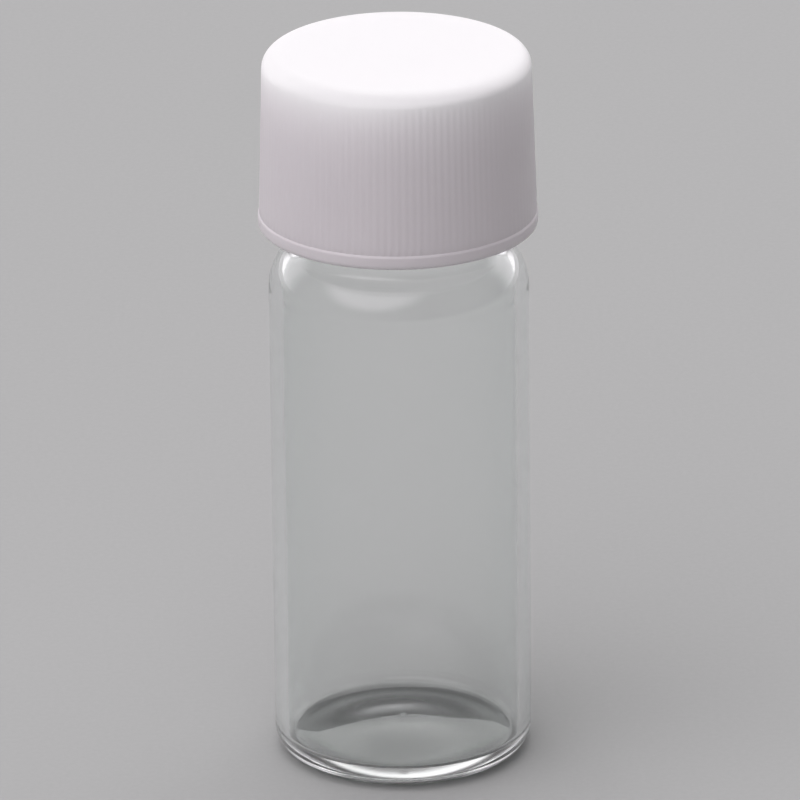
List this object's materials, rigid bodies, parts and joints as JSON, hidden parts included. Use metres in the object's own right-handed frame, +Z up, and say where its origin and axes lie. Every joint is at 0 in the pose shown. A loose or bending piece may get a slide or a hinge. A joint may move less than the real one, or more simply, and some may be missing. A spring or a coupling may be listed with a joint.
{
  "type": "glass sample vial",
  "caption": "Clear straight-walled glass sample vial with a rounded shoulder and a white ribbed screw cap that unscrews with its sealing liner.",
  "frame": {"origin": "centre of the base ring, on the surface that the vial stands on", "axes": "+Z up along the vial's axis, from the base to the cap; X and Y are across the round body"},
  "size_m": [0.0192, 0.0192, 0.0512],
  "materials": {
    "clear_glass": "clear, fire-polished, faint green in the thick edges",
    "cap_plastic": "white moulded plastic, satin",
    "liner_foam": "white closed-cell foam, matte"
  },
  "bodies": {
    "vial": {"glass_vial": "clear_glass"},
    "liner": {"cap_liner": "liner_foam"},
    "cap": {"screw_cap": "cap_plastic"}
  },
  "joints": [
    {"name": "cap_lift", "type": "slide", "parent": "vial", "child": "liner", "axis": [0, 0, 1], "range_m": [0, 0.0127]},
    {"name": "cap_turn", "type": "hinge", "parent": "liner", "child": "cap", "pos_m": [0, 0, 0.0388], "axis": [0, 0, 1], "range_deg": [0, 2160]}
  ],
  "couplings": [
    {"joint": "cap_lift", "follows": "cap_turn", "m_per_rad": 0.00033423}
  ]
}
